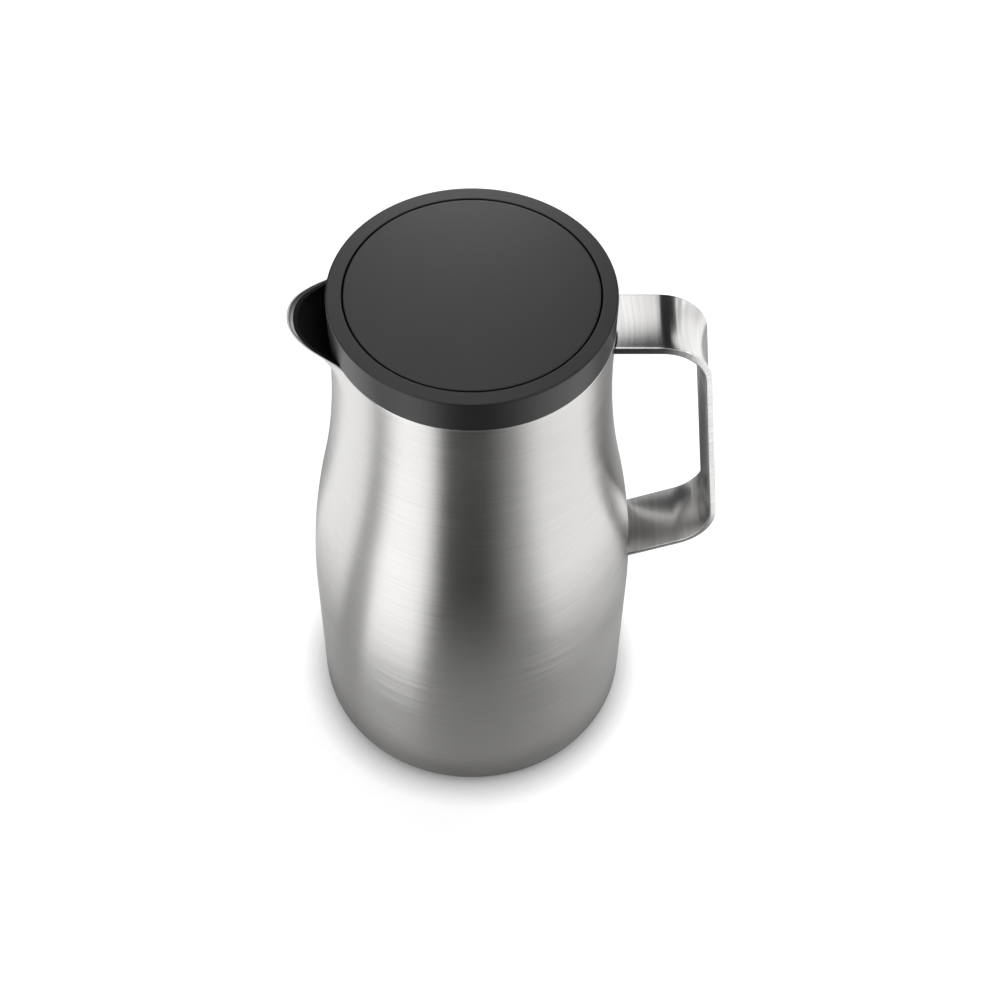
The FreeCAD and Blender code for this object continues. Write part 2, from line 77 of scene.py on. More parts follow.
def addObject(name, data):
    # a new object that carries a mesh, lamp or camera
    item = bpy.data.objects.new(name, data)
    scene.collection.objects.link(item)
    return item


def runLengths(line):
    # the way travelled along a line of points, from 0 at its first one
    steps = np.linalg.norm(np.diff(line, axis=0), axis=1)
    return np.concatenate([[0], np.cumsum(steps)])


def gridMesh(name, grid, alongU, alongV, wrapU=False, startPole=None, endPole=None):
    # grid[i, j] is a point in mm at row i, column j; columns always close on themselves.
    # wrapU closes the rows as well; a pole is one point that closes the first or last row with a fan.
    # alongU and alongV are the lengths of rows and columns in the UV map.
    rows, cols = grid.shape[:2]
    points = grid.reshape(-1, 3) * mm
    lastRow = rows if wrapU else rows - 1
    i, j = np.meshgrid(np.arange(lastRow), np.arange(cols), indexing="ij")
    i, j = i.ravel(), j.ravel()
    up, over = (i + 1) % rows, (j + 1) % cols
    quads = np.stack([i * cols + j, i * cols + over, up * cols + over, up * cols + j], 1)
    quadUv = np.stack([alongU[i], alongV[j], alongU[i], alongV[j + 1],
                       alongU[i + 1], alongV[j + 1], alongU[i + 1], alongV[j]], 1).reshape(-1, 2)
    faces, uvs = quads.tolist(), [quadUv]
    col = np.arange(cols)
    for pole, row, first in ((startPole, 0, True), (endPole, rows - 1, False)):
        if pole is None:
            continue
        tip = np.full(cols, len(points))
        points = np.vstack([points, np.array(pole) * mm])
        edge, after = row * cols + col, row * cols + (col + 1) % cols
        fan = np.stack([tip, after, edge] if first else [edge, after, tip], 1)
        faces += fan.tolist()
        tipU = np.full(cols, alongU[row])
        parts = [tipU, alongV[col], tipU, alongV[col + 1], tipU, alongV[col]]
        uvs.append(np.stack(parts, 1).reshape(-1, 2))
    mesh = bpy.data.meshes.new(name)
    mesh.from_pydata(points.tolist(), [], faces)
    layer = mesh.uv_layers.new(name=brushMap)
    layer.data.foreach_set("uv", np.vstack(uvs).astype(np.float32).ravel())
    mesh.polygons.foreach_set("use_smooth", np.ones(len(mesh.polygons), bool))
    mesh.update()
    return addObject(name, mesh)


def roundedLine(corners, steps=8, closed=False, guard=0.3):
    # a line through (r, z, radius) corners with a circular arc at each corner that has a radius;
    # a guard point sits just outside each arc so that smooth shading stays on the arc
    points = [np.array(corner[:2], float) for corner in corners]
    count = len(points)
    guardShare = closedGuardShare if closed else math.inf
    out = []
    for k, corner in enumerate(points):
        radius = corners[k][2]
        if radius <= 0 or (not closed and k in (0, count - 1)):
            out.append(corner[None])
            continue
        back = points[k - 1] - corner
        forth = points[(k + 1) % count] - corner
        backLength, forthLength = np.linalg.norm(back), np.linalg.norm(forth)
        back, forth = back / backLength, forth / forthLength
        half = math.acos(np.clip(back @ forth, -1, 1)) / 2
        reach = radius / math.tan(half)
        middle = corner + (back + forth) / np.linalg.norm(back + forth) * radius / math.sin(half)
        start, end = corner + back * reach - middle, corner + forth * reach - middle
        sweep = math.pi - 2 * half
        t = np.linspace(0, 1, steps + 1)[:, None]
        arc = middle + (np.sin((1 - t) * sweep) * start + np.sin(t * sweep) * end) / math.sin(sweep)
        before = corner + back * min(reach + guard, backLength * guardShare)
        after = corner + forth * min(reach + guard, forthLength * guardShare)
        out.append(np.vstack([before, arc, after]))
    return np.vstack(out)


def spunPiece(name, outline, cols, wrap=True, startPole=None, endPole=None):
    # an (r, z) outline turned about Z: x = r cos a, y = r sin a
    angle = np.linspace(0, fullTurn, cols, endpoint=False)
    r, z = outline[:, :1], outline[:, 1:]
    grid = np.stack([r * np.cos(angle), r * np.sin(angle), z + 0 * angle], 2)
    alongU = runLengths(np.vstack([outline, outline[:1]])) * mm
    alongV = np.linspace(0, fullTurn, cols + 1) * outline[:, 0].max() * mm
    return gridMesh(name, grid, alongU, alongV, wrap, startPole, endPole)


# steel body: shell, spout and foot as one brushed skin

body = dict(neckRadius=45.6, bellyRadius=57.8, neckStart=188.0, bellyTop=64.0, rim=201.6, wall=0.6,
            foot=1.2, footEdge=6.0, footTop=20.0, padRecess=47.8, recessTop=3.2, recessEdges=(0.5, 0.4),
            insideTop=24.0, insideEdges=(0.3, 0.4), floorRing=30.0, sideStart=30.0, curveStart=68.0,
            lipCrown=0.1, lipAcrossShares=(0.05, 0.15, 0.25, 0.5, 0.75, 0.85, 0.95),
            lipCrownShares=(0.5, 0.9, 1.0, 1.0, 1.0, 0.9, 0.5), columns=360, bellyRows=5, curveRows=52,
            spoutRows=44, insideRowStep=4, footSteps=12, insideSteps=8, rimRounds=8)
spout = dict(reach=12.9, halfAngle=math.radians(30.0), bluntness=1.36, flarePower=3,
             root=184.0, tip=203.3, rise=1.7)


def sideRadius(z):
    # two equal arcs, tangent to each other and to a straight belly and a straight neck
    drop = body["bellyRadius"] - body["neckRadius"]
    run = body["neckStart"] - body["bellyTop"]
    arc = (drop ** 2 + run ** 2) / (4 * drop)
    low = np.clip(z - body["bellyTop"], 0, run / 2)
    high = np.clip(body["neckStart"] - z, 0, run / 2)
    lowRadius = body["bellyRadius"] - arc + np.sqrt(arc ** 2 - low ** 2)
    highRadius = body["neckRadius"] + arc - np.sqrt(arc ** 2 - high ** 2)
    return np.where(z < body["bellyTop"] + run / 2, lowRadius, highRadius)


def wallRadius(angle, z):
    # the side plus the spout's swelling: reach x a power of the climb x a blunt raised cosine about -X
    turn = np.abs(np.mod(angle, fullTurn) - math.pi) / spout["halfAngle"]
    swell = (1 + np.cos(math.pi * np.minimum(turn, 1) ** spout["bluntness"])) / 2
    climb = np.clip((z - spout["root"]) / (spout["tip"] - spout["root"]), 0, None)
    return sideRadius(z) + spout["reach"] * climb ** spout["flarePower"] * swell


def rimHeight(angle):
    # level round the neck, then a circular rise towards the spout's tip, solved on the wall
    bend = body["neckRadius"] * math.cos(spout["halfAngle"])
    tip = body["neckRadius"] + spout["reach"]
    arc = ((tip - bend) ** 2 + spout["rise"] ** 2) / (2 * spout["rise"])
    z = np.full_like(angle, body["rim"])
    for _ in range(body["rimRounds"]):
        reach = np.clip(-wallRadius(angle, z) * np.cos(angle) - bend, 0, None)
        z = body["rim"] + arc - np.sqrt(arc ** 2 - reach ** 2)
    return z


def makeBody():
    # rings r(angle), z(angle) from the base's underside up the outside, over the lip and down the inside
    angle = np.linspace(0, fullTurn, body["columns"], endpoint=False)
    belly, wall, foot = body["bellyRadius"], body["wall"], body["foot"]
    recess, under = body["padRecess"], body["recessTop"]
    footLine = roundedLine([
        (body["floorRing"], under, 0),
        (recess, under, body["recessEdges"][0]),
        (recess, foot, body["recessEdges"][1]),
        (belly, foot, body["footEdge"]),
        (belly, body["footTop"], 0),
    ], body["footSteps"])
    insideLine = roundedLine([
        (belly - wall, body["insideTop"], 0),
        (belly - wall, foot + wall, body["footEdge"] - wall),
        (recess + wall, foot + wall, body["insideEdges"][0]),
        (recess + wall, under + wall, body["insideEdges"][1]),
        (body["floorRing"], under + wall, 0),
    ], body["insideSteps"])
    bellyZ = np.linspace(body["sideStart"], body["bellyTop"], body["bellyRows"])
    curveZ = np.linspace(body["curveStart"], spout["root"], body["curveRows"])
    sideZ = np.concatenate([bellyZ, curveZ])[:, None] + 0 * angle
    top = rimHeight(angle) - body["lipCrown"]
    share = np.linspace(0, 1, body["spoutRows"])[1:, None]
    spoutZ = spout["root"] + (top - spout["root"]) * share
    # the lip is flat across its middle half and eases down to both faces
    lipR = wallRadius(angle, top) - wall * np.array(body["lipAcrossShares"])[:, None]
    lipZ = top + body["lipCrown"] * np.array(body["lipCrownShares"])[:, None]
    insideZ = np.vstack([spoutZ[::-1], sideZ[::-body["insideRowStep"]]])
    r = np.vstack([footLine[:, :1] + 0 * angle, wallRadius(angle, sideZ), wallRadius(angle, spoutZ), lipR,
                   wallRadius(angle, insideZ) - wall, insideLine[:, :1] + 0 * angle])
    z = np.vstack([footLine[:, 1:] + 0 * angle, sideZ, spoutZ, lipZ,
                   insideZ, insideLine[:, 1:] + 0 * angle])
    grid = np.stack([r * np.cos(angle), r * np.sin(angle), z], 2)
    alongU = runLengths(np.stack([r[:, 0], z[:, 0]], 1)) * mm
    alongV = np.linspace(0, fullTurn, body["columns"] + 1) * belly * mm
    piece = gridMesh("steelBody", grid, alongU, alongV, False, (0, 0, under), (0, 0, under + wall))
    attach(piece, "vessel")
    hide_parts("outer_shell", "base_cap")
    return piece


steelBody = makeBody()
print("steel body:", len(steelBody.data.polygons), "faces")


# strap handle

strap = dict(width=22.8, thickness=2.5, edge=0.55, dish=2.0, top=200.45, topReach=75.0, bottomReach=87.0,
             bottomHeight=100.1, armAngle=math.radians(23.8), topBend=17.2, bottomBend=19.6, bury=0.35,
             faceInset=0.4, faceColumns=23, edgeColumns=7, topRows=14, bendRows=40, gripRows=40, armRows=18,
             endRounds=12)


def strapOutline():
    # rounded rectangle in (depth below the outer edges, y), anticlockwise seen along the strap,
    # then bent about a centre outside it, so that the outer face is hollow: y becomes an angle there
    thick, half, edge = strap["thickness"], strap["width"] / 2, strap["edge"]
    turns = [np.linspace(k, k + 1, strap["edgeColumns"]) * math.pi / 2 for k in range(4)]
    rounds = [edge * np.stack([np.cos(turn), np.sin(turn)], 1) for turn in turns]
    flat = half - edge - strap["faceInset"]
    across = np.linspace(flat, -flat, strap["faceColumns"])
    inside = np.stack([0 * across - thick, across], 1)
    outside = np.stack([0 * across, -across], 1)
    outline = np.vstack([rounds[0] + (-edge, half - edge), rounds[1] + (edge - thick, half - edge), inside,
                         rounds[2] + (edge - thick, edge - half), rounds[3] + (-edge, edge - half), outside])
    hollow = (half ** 2 + strap["dish"] ** 2) / (2 * strap["dish"])
    endAngle = math.asin(half / hollow)
    reach = hollow - outline[:, 0]
    angle = outline[:, 1] / half * endAngle
    return np.stack([hollow * math.cos(endAngle) - reach * np.cos(angle), reach * np.sin(angle)], 1)


def outward(way):
    # the strap's outer side: the way along it, turned a quarter to the left
    return np.array([-way[1], way[0]])


def strapBend(corner, wayIn, wayOut, radius):
    # an arc tangent to both ways, whose normal turns evenly from the one outer side to the other
    angle = math.acos(np.clip(wayIn @ wayOut, -1, 1))
    reach = radius * math.tan(angle / 2)
    centre = corner - wayIn * reach - outward(wayIn) * radius
    t = np.linspace(0, 1, strap["bendRows"])[:, None]
    blend = np.sin((1 - t) * angle) * outward(wayIn) + np.sin(t * angle) * outward(wayOut)
    normal = blend / math.sin(angle)
    return centre + normal * radius, normal


def makeHandle():
    # the outline carried along the strap's outer line: level top arm, bend, leaning grip, bend, sloping
    # lower arm; each point of the outline runs on along both arms until it is buried in the body's side
    high = np.array([strap["topReach"], strap["top"]])
    low = np.array([strap["bottomReach"], strap["bottomHeight"]])
    grip = (low - high) / np.linalg.norm(low - high)
    arm = np.array([-math.cos(strap["armAngle"]), -math.sin(strap["armAngle"])])
    bendTop, normalTop = strapBend(high, np.array([1.0, 0.0]), grip, strap["topBend"])
    bendLow, normalLow = strapBend(low, grip, arm, strap["bottomBend"])
    t = np.linspace(0, 1, strap["gripRows"])[1:-1, None]
    gripLine = bendTop[-1] + (bendLow[0] - bendTop[-1]) * t
    line = np.vstack([bendTop, gripLine, bendLow])
    normal = np.vstack([normalTop, np.repeat(normalTop[-1:], len(gripLine), 0), normalLow])
    outline = strapOutline()
    depth, y = outline[:, 0], outline[:, 1]
    x = line[:, :1] + normal[:, :1] * depth
    z = line[:, 1:] + normal[:, 1:] * depth
    share = np.linspace(0, 1, strap["topRows"])[:-1, None]
    startX = np.sqrt(sideRadius(z[0]) ** 2 - y ** 2) - strap["bury"]
    topX, topZ = startX + (x[0] - startX) * share, z[0] + 0 * share
    run = np.zeros_like(y)
    for _ in range(strap["endRounds"]):
        hereX, hereZ = x[-1] + arm[0] * run, z[-1] + arm[1] * run
        run = run + (hereX - np.sqrt(sideRadius(hereZ) ** 2 - y ** 2) + strap["bury"]) / -arm[0]
    share = np.linspace(0, 1, strap["armRows"])[1:, None]
    armX, armZ = x[-1] + arm[0] * run * share, z[-1] + arm[1] * run * share
    x, z = np.vstack([topX, x, armX]), np.vstack([topZ, z, armZ])
    grid = np.stack([x, y + 0 * x, z], 2)
    middle = grid.mean(1)
    alongU = runLengths(middle) * mm
    alongV = runLengths(np.vstack([outline, outline[:1]])) * mm
    piece = gridMesh("strapHandle", grid, alongU, alongV, False, tuple(middle[0]), tuple(middle[-1]))
    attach(piece, "vessel")
    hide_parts("handle")
    return piece


strapHandle = makeHandle()
print("handle:", len(strapHandle.data.polygons), "faces")


# lid: ring and press disc

lid = dict(radius=45.62, top=214.0, bottom=201.66, opening=40.6, lipWall=1.4, lipDepth=8.0, skirtWall=2.0,
           land=2.4, ringEdge=0.55, openingEdge=0.3, skirtEdge=0.3, lipEdge=0.25, landEdge=0.2,
           ringGuard=0.25, discRadius=40.1, discWall=1.4, discPlate=2.0, discSkirt=4.4, discEdge=0.35,
           discSkirtEdge=0.3, plateEdge=0.4, topRing=3.0, hub=6.0, hubDepth=8.0, hubRoot=0.5, hubEdge=0.4,
           hubRing=2.6, columns=240)


def makeRing():
    # an outline turned about Z: skirt, top face, a lip down into the opening, and the land between them
    top, low, outer, opening = lid["top"], lid["bottom"], lid["radius"], lid["opening"]
    lip, skirt = opening + lid["lipWall"], outer - lid["skirtWall"]
    lipLow, landLow = top - lid["lipDepth"], top - lid["land"]
    outline = roundedLine([
        (outer, low, lid["skirtEdge"]),
        (outer, top, lid["ringEdge"]),
        (opening, top, lid["openingEdge"]),
        (opening, lipLow, lid["lipEdge"]),
        (lip, lipLow, lid["lipEdge"]),
        (lip, landLow, lid["landEdge"]),
        (skirt, landLow, lid["landEdge"]),
        (skirt, low, lid["skirtEdge"]),
    ], closed=True, guard=lid["ringGuard"])
    piece = spunPiece("lidRing", outline, lid["columns"])
    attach(piece, "lid")
    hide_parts("lid_ring")
    return piece


def makeDisc():
    # an outline turned about Z: hub below, plate, short skirt and the flat top, closed at both poles
    top, outer, hub = lid["top"], lid["discRadius"], lid["hub"]
    inner = outer - lid["discWall"]
    skirtLow, plateLow, hubLow = top - lid["discSkirt"], top - lid["discPlate"], top - lid["hubDepth"]
    outline = roundedLine([
        (lid["topRing"], top, 0),
        (outer, top, lid["discEdge"]),
        (outer, skirtLow, lid["discSkirtEdge"]),
        (inner, skirtLow, lid["discSkirtEdge"]),
        (inner, plateLow, lid["plateEdge"]),
        (hub, plateLow, lid["hubRoot"]),
        (hub, hubLow, lid["hubEdge"]),
        (lid["hubRing"], hubLow, 0),
    ])[::-1]
    piece = spunPiece("pressDisc", outline, lid["columns"], False, (0, 0, hubLow), (0, 0, top))
    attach(piece, "button")
    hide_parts("press_disc")
    return piece


lidRing = makeRing()
pressDisc = makeDisc()
print("lid made")


# button spring: the solid's own coil, carried by the disc


def makeSpring():
    # a copy of the solid's coil that moves with the disc as one piece, so its top end stays on the disc
    source = nodes["button_spring"]
    piece = addObject("buttonCoil", source.data.copy())
    piece.matrix_world = source.matrix_world.copy()
    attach(piece, "button")
    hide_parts("button_spring")
    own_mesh(piece)
    return piece


buttonCoil = makeSpring()
print("spring made")


# finishes: noise is given as (detail, roughness), a spread as the noise values between which it acts

noiseSpread = (0.3, 0.7)
brushing = dict(scratchNoise=(4.0, 0.55), streakNoise=(2.0, 0.5), scratchShare=0.6, streakShare=0.4,
                streakSpread=(0.25, 0.75), depth=0.00004)
moulding = dict(fineNoise=(3.0, 0.6), broadNoise=(2.0, 0.5), broadScale=60, toneVary=0.08,
                roughnessVary=0.05, depth=0.00003)
drawing = dict(noise=(4.0, 0.6), scale=(900, 900, 2500), darkShare=0.88, smoother=0.05, rougher=0.07)
brushedSteels = dict(
    bodySteel=dict(tone=(0.47, 0.465, 0.455), toneVary=0.07, roughness=0.32, roughnessVary=0.04,
                   sheen=0.75, sheenTurn=0.0, scratchScale=(2600, 60, 1), streakScale=(1000, 22, 1),
                   bump=0.012),
    strapSteel=dict(tone=(0.5, 0.495, 0.49), toneVary=0.1, roughness=0.2, roughnessVary=0.01,
                    sheen=0.95, sheenTurn=0.25, scratchScale=(2400, 30, 1), streakScale=(900, 14, 1),
                    bump=0.02),
)
satinPlastics = dict(
    lidBlack=dict(colour=(0.009, 0.009, 0.0095), roughness=0.4, grain=5200, bump=0.15, specular=0.32),
    innerBlack=dict(colour=(0.003, 0.003, 0.003), roughness=0.5, grain=3000, bump=0.1, specular=0.06),
    darkSilicone=dict(colour=(0.05, 0.05, 0.052), roughness=0.6, grain=3000, bump=0.1, specular=0.35),
    footRubber=dict(colour=(0.02, 0.02, 0.02), roughness=0.75, grain=2400, bump=0.3, specular=0.3),
)
plainMetals = dict(
    flaskSteel=dict(colour=(0.5, 0.49, 0.47), roughness=0.28),
    brightSteel=dict(colour=(0.58, 0.58, 0.58), roughness=0.18),
    copperFoil=dict(colour=(0.7, 0.38, 0.24), roughness=0.3),
    getterMetal=dict(colour=(0.4, 0.4, 0.4), roughness=0.45),
)
nodeFinish = dict(
    innerBlack=["pour_collar", "thread_insert", "lid_deck", "stopper_body", "valve_plate", "stem_bush"],
    darkSilicone=["mouth_gasket", "stopper_seal", "chamber_gasket", "valve_seal", "stem_o_ring"],
    footRubber=["base_pad"],
    flaskSteel=["inner_flask", "flask_heel", "flask_neck", "flask_floor", "mouth_flange"],
    brightSteel=["lid_screws", "valve_stem", "stem_nut"],
    copperFoil=["copper_foil"],
    getterMetal=["getter", "seal_off_plug"],
)


def newMaterial(name):
    material = bpy.data.materials.new(name)
    material.use_nodes = True
    tree = material.node_tree
    return material, tree, tree.nodes["Principled BSDF"]


def noiseOn(tree, coordinates, scale, noise):
    # noise of the coordinates times the scale
    mapping = tree.nodes.new("ShaderNodeMapping")
    mapping.inputs["Scale"].default_value = scale
    tree.links.new(coordinates, mapping.inputs["Vector"])
    texture = tree.nodes.new("ShaderNodeTexNoise")
    texture.inputs["Scale"].default_value = 1.0
    texture.inputs["Detail"].default_value = noise[0]
    texture.inputs["Roughness"].default_value = noise[1]
    tree.links.new(mapping.outputs["Vector"], texture.inputs["Vector"])
    return texture.outputs["Fac"]


def rangeOf(tree, value, low, high, spread=noiseSpread):
    # low to high in a straight line while the value goes through the spread
    node = tree.nodes.new("ShaderNodeMapRange")
    node.inputs["From Min"].default_value = spread[0]
    node.inputs["From Max"].default_value = spread[1]
    node.inputs["To Min"].default_value = low
    node.inputs["To Max"].default_value = high
    tree.links.new(value, node.inputs["Value"])
    return node.outputs["Result"]


def shadeOf(tree, value, dark, light):
    # dark to light colour while the value goes through the usual spread
    ramp = tree.nodes.new("ShaderNodeValToRGB")
    for element, place, colour in zip(ramp.color_ramp.elements, noiseSpread, (dark, light)):
        element.position = place
        element.color = (*colour, 1)
    tree.links.new(value, ramp.inputs["Fac"])
    return ramp.outputs["Color"]


def bumpOf(tree, shader, value, strength, depth):
    bump = tree.nodes.new("ShaderNodeBump")
    bump.inputs["Strength"].default_value = strength
    bump.inputs["Distance"].default_value = depth
    tree.links.new(value, bump.inputs["Height"])
    tree.links.new(bump.outputs["Normal"], shader.inputs["Normal"])


def toned(colour, factor):
    return tuple(min(1, channel * factor) for channel in colour)


def brushedSteel(name, tone, toneVary, roughness, roughnessVary, sheen, sheenTurn,
                 scratchScale, streakScale, bump):
    # long fine scratches along V; the sheen spreads along U, or along V where it is turned a quarter
    material, tree, shader = newMaterial(name)
    uv = tree.nodes.new("ShaderNodeUVMap")
    uv.uv_map = brushMap
    scratches = noiseOn(tree, uv.outputs["UV"], scratchScale, brushing["scratchNoise"])
    streaks = noiseOn(tree, uv.outputs["UV"], streakScale, brushing["streakNoise"])
    mix = tree.nodes.new("ShaderNodeMath")
    mix.operation = "MULTIPLY_ADD"
    tree.links.new(scratches, mix.inputs[0])
    mix.inputs[1].default_value = brushing["scratchShare"]
    streakPart = rangeOf(tree, streaks, 0.0, brushing["streakShare"], brushing["streakSpread"])
    tree.links.new(streakPart, mix.inputs[2])
    brushed = mix.outputs[0]
    shade = shadeOf(tree, brushed, toned(tone, 1 - toneVary), toned(tone, 1 + toneVary))
    tree.links.new(shade, shader.inputs["Base Color"])
    rough = rangeOf(tree, brushed, roughness - roughnessVary, roughness + roughnessVary)
    tree.links.new(rough, shader.inputs["Roughness"])
    shader.inputs["Metallic"].default_value = 1.0
    shader.inputs["Anisotropic"].default_value = sheen
    shader.inputs["Anisotropic Rotation"].default_value = sheenTurn
    tangent = tree.nodes.new("ShaderNodeTangent")
    tangent.direction_type = "UV_MAP"
    tangent.uv_map = brushMap
    tree.links.new(tangent.outputs["Tangent"], shader.inputs["Tangent"])
    bumpOf(tree, shader, scratches, bump, brushing["depth"])
    return material


def satinPlastic(name, colour, roughness, grain, bump, specular):
    # broad noise varies the colour a little, fine noise the roughness and the surface
    material, tree, shader = newMaterial(name)
    place = tree.nodes.new("ShaderNodeTexCoord").outputs["Object"]
    fine = noiseOn(tree, place, (grain,) * 3, moulding["fineNoise"])
    broad = noiseOn(tree, place, (moulding["broadScale"],) * 3, moulding["broadNoise"])
    vary = moulding["toneVary"]
    shade = shadeOf(tree, broad, toned(colour, 1 - vary), toned(colour, 1 + vary))
    tree.links.new(shade, shader.inputs["Base Color"])
    vary = moulding["roughnessVary"]
    tree.links.new(rangeOf(tree, fine, roughness - vary, roughness + vary), shader.inputs["Roughness"])
    shader.inputs["Specular IOR Level"].default_value = specular
    bumpOf(tree, shader, fine, bump, moulding["depth"])
    return material


def plainMetal(name, colour, roughness):
    # one fine noise, squeezed along Z, varies both colour and roughness
    material, tree, shader = newMaterial(name)
    place = tree.nodes.new("ShaderNodeTexCoord").outputs["Object"]
    fine = noiseOn(tree, place, drawing["scale"], drawing["noise"])
    shade = shadeOf(tree, fine, toned(colour, drawing["darkShare"]), colour)
    tree.links.new(shade, shader.inputs["Base Color"])
    rough = rangeOf(tree, fine, roughness - drawing["smoother"], roughness + drawing["rougher"])
    tree.links.new(rough, shader.inputs["Roughness"])
    shader.inputs["Metallic"].default_value = 1.0
    return material


finishes = {}
for make, kinds in ((brushedSteel, brushedSteels), (satinPlastic, satinPlastics), (plainMetal, plainMetals)):
    for name, values in kinds.items():
        finishes[name] = make(name, **values)
for finish, names in nodeFinish.items():
    for name in names:
        for place in nodes[name].material_slots:
            place.material = finishes[finish]
steelBody.data.materials.append(finishes["bodySteel"])
strapHandle.data.materials.append(finishes["strapSteel"])
lidRing.data.materials.append(finishes["lidBlack"])
pressDisc.data.materials.append(finishes["lidBlack"])
buttonCoil.data.materials.clear()
buttonCoil.data.materials.append(finishes["brightSteel"])
print("finishes set")


# studio: azimuths are degrees from the camera's side (-Y), positive towards +X

studio = dict(floorSize=6.0, floorTone=0.85, floorGlow=0.42, ambient=0.5, paintedShadowReach=0.012,
              paintedShadowDepth=0.85, lampFactor=4, cardColumns=41, tableRows=12, uprightRows=9)


def seenDirectly(tree):
    # 1 for camera, glossy and transmission rays, 0 for the rest
    path = tree.nodes.new("ShaderNodeLightPath")
    first = tree.nodes.new("ShaderNodeMath")
    first.operation = "ADD"
    tree.links.new(path.outputs["Is Camera Ray"], first.inputs[0])
    tree.links.new(path.outputs["Is Glossy Ray"], first.inputs[1])
    second = tree.nodes.new("ShaderNodeMath")
    second.operation = "ADD"
    second.use_clamp = True
    tree.links.new(first.outputs[0], second.inputs[0])
    tree.links.new(path.outputs["Is Transmission Ray"], second.inputs[1])
    return second.outputs[0]


def makeFloor():
    # a white square that glows a little where it is seen, with a painted contact shadow: occlusion darkens
    # its colour and glow close to the jug
    half = studio["floorSize"] / 2
    corners = [(-half, -half, 0), (half, -half, 0), (half, half, 0), (-half, half, 0)]
    mesh = bpy.data.meshes.new("floor")
    mesh.from_pydata(corners, [], [(0, 1, 2, 3)])
    floor = addObject("floor", mesh)
    material = bpy.data.materials.new("floorWhite")
    material.use_nodes = True
    tree = material.node_tree
    tree.nodes.clear()
    out = tree.nodes.new("ShaderNodeOutputMaterial")
    # painted contact shadow: the floor's colour and glow fall with occlusion near the jug
    near = tree.nodes.new("ShaderNodeAmbientOcclusion")
    near.inputs["Distance"].default_value = studio["paintedShadowReach"]
    shade = tree.nodes.new("ShaderNodeMath")
    shade.operation = "POWER"
    tree.links.new(near.outputs["AO"], shade.inputs[0])
    shade.inputs[1].default_value = studio["paintedShadowDepth"]
    diffuse = tree.nodes.new("ShaderNodeBsdfDiffuse")
    tree.links.new(rangeOf(tree, shade.outputs[0], 0, studio["floorTone"], (0, 1)), diffuse.inputs["Color"])
    glow = tree.nodes.new("ShaderNodeEmission")
    tree.links.new(rangeOf(tree, shade.outputs[0], 0, studio["floorGlow"], (0, 1)), glow.inputs["Color"])
    tree.links.new(seenDirectly(tree), glow.inputs["Strength"])
    both = tree.nodes.new("ShaderNodeAddShader")
    tree.links.new(diffuse.outputs[0], both.inputs[0])
    tree.links.new(glow.outputs[0], both.inputs[1])
    tree.links.new(both.outputs[0], out.inputs["Surface"])
    mesh.materials.append(material)


def makeWorld():
    # white where it is seen directly or in a reflection, dimmer as a light
    world = bpy.data.worlds.new("whiteStudio")
    scene.world = world
    world.use_nodes = True
    tree = world.node_tree
    tree.nodes.clear()
    out = tree.nodes.new("ShaderNodeOutputWorld")
    soft = tree.nodes.new("ShaderNodeBackground")
    soft.inputs["Strength"].default_value = studio["ambient"]
    soft.inputs["Color"].default_value = (1, 1, 1, 1)
    white = tree.nodes.new("ShaderNodeBackground")
    white.inputs["Color"].default_value = (1, 1, 1, 1)
    pick = tree.nodes.new("ShaderNodeMixShader")
    tree.links.new(seenDirectly(tree), pick.inputs["Fac"])
    tree.links.new(soft.outputs[0], pick.inputs[1])
    tree.links.new(white.outputs[0], pick.inputs[2])
    tree.links.new(pick.outputs[0], out.inputs["Surface"])


def around(azimuth, distance, height):
    # a place given by its azimuth, its distance from the axis and its height
    a = math.radians(azimuth)
    return (distance * math.sin(a), -distance * math.cos(a), height)


def softbox(name, place, target, width, height, radiance, mirrored=True):
    # an area lamp aimed at the target, with its power in step with its area
    light = bpy.data.lights.new(name, "AREA")
    light.shape = "RECTANGLE"
    light.size, light.size_y = width, height
    light.energy = radiance * width * height * studio["lampFactor"]
    item = addObject(name, light)
    item.location = place
    item.rotation_euler = (Vector(target) - Vector(place)).to_track_quat("-Z", "Y").to_euler()
    item.visible_camera = False
    item.visible_glossy = mirrored


def cardMaterial(name, radiance, feather, opacity):
    # plain glow that fades out at both sides, given as shares along V, and at the edge where U is 0
    material = bpy.data.materials.new(name)
    material.use_nodes = True
    material.cycles.emission_sampling = "NONE"
    tree = material.node_tree
    tree.nodes.clear()
    out = tree.nodes.new("ShaderNodeOutputMaterial")
    glow = tree.nodes.new("ShaderNodeEmission")
    glow.inputs["Strength"].default_value = radiance
    clear = tree.nodes.new("ShaderNodeBsdfTransparent")
    mix = tree.nodes.new("ShaderNodeMixShader")
    uv = tree.nodes.new("ShaderNodeUVMap")
    uv.uv_map = brushMap
    parts = tree.nodes.new("ShaderNodeSeparateXYZ")
    tree.links.new(uv.outputs["UV"], parts.inputs["Vector"])
    amount = None
    for output, low, high in (("Y", 0, feather[0]), ("Y", 1, 1 - feather[1]), ("X", 0, feather[2])):
        fade = tree.nodes.new("ShaderNodeMapRange")
        fade.interpolation_type = "SMOOTHSTEP"
        fade.inputs["From Min"].default_value = low
        fade.inputs["From Max"].default_value = high
        tree.links.new(parts.outputs[output], fade.inputs["Value"])
        product = tree.nodes.new("ShaderNodeMath")
        product.operation = "MULTIPLY"
        tree.links.new(fade.outputs["Result"], product.inputs[0])
        if amount is None:
            product.inputs[1].default_value = opacity
        else:
            tree.links.new(amount, product.inputs[1])
        amount = product.outputs[0]
    tree.links.new(amount, mix.inputs["Fac"])
    tree.links.new(clear.outputs[0], mix.inputs[1])
    tree.links.new(glow.outputs[0], mix.inputs[2])
    tree.links.new(mix.outputs[0], out.inputs["Surface"])
    return material


